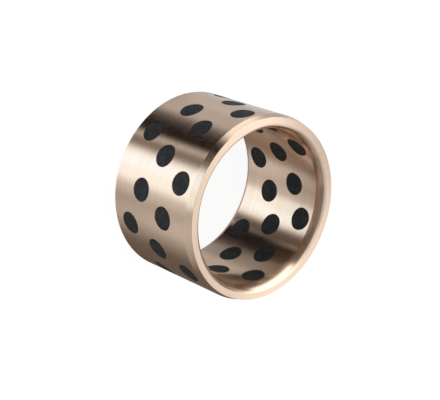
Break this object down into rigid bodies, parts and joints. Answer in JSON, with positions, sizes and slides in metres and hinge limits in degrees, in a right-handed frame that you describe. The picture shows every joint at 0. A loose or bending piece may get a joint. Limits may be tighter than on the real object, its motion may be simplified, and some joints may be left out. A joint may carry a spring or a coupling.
{
  "type": "graphite plugged bushing",
  "caption": "Plain bronze sleeve bearing with solid graphite plugs flush through its wall, a press-in chamfer outside and rounded bore mouths.",
  "frame": {"origin": "middle of the back end, on the bore axis, where the bushing stands", "axes": "+Z along the bore axis from the back end to the front end, the one with the long press-in chamfer; +X through the first plug of the lowest row"},
  "size_m": [0.095, 0.095, 0.06],
  "materials": {
    "bronze": "satin",
    "graphite": "matte"
  },
  "bodies": {
    "root": {"bronze_sleeve": "bronze", "graphite_plug_1_1": "graphite", "graphite_plug_1_2": "graphite", "graphite_plug_1_3": "graphite", "graphite_plug_1_4": "graphite", "graphite_plug_1_5": "graphite", "graphite_plug_1_6": "graphite", "graphite_plug_2_1": "graphite", "graphite_plug_2_2": "graphite", "graphite_plug_2_3": "graphite", "graphite_plug_2_4": "graphite", "graphite_plug_2_5": "graphite", "graphite_plug_2_6": "graphite", "graphite_plug_3_1": "graphite", "graphite_plug_3_2": "graphite", "graphite_plug_3_3": "graphite", "graphite_plug_3_4": "graphite", "graphite_plug_3_5": "graphite", "graphite_plug_3_6": "graphite", "graphite_plug_4_1": "graphite", "graphite_plug_4_2": "graphite", "graphite_plug_4_3": "graphite", "graphite_plug_4_4": "graphite", "graphite_plug_4_5": "graphite", "graphite_plug_4_6": "graphite", "graphite_plug_5_1": "graphite", "graphite_plug_5_2": "graphite", "graphite_plug_5_3": "graphite", "graphite_plug_5_4": "graphite", "graphite_plug_5_5": "graphite", "graphite_plug_5_6": "graphite"}
  },
  "joints": []
}
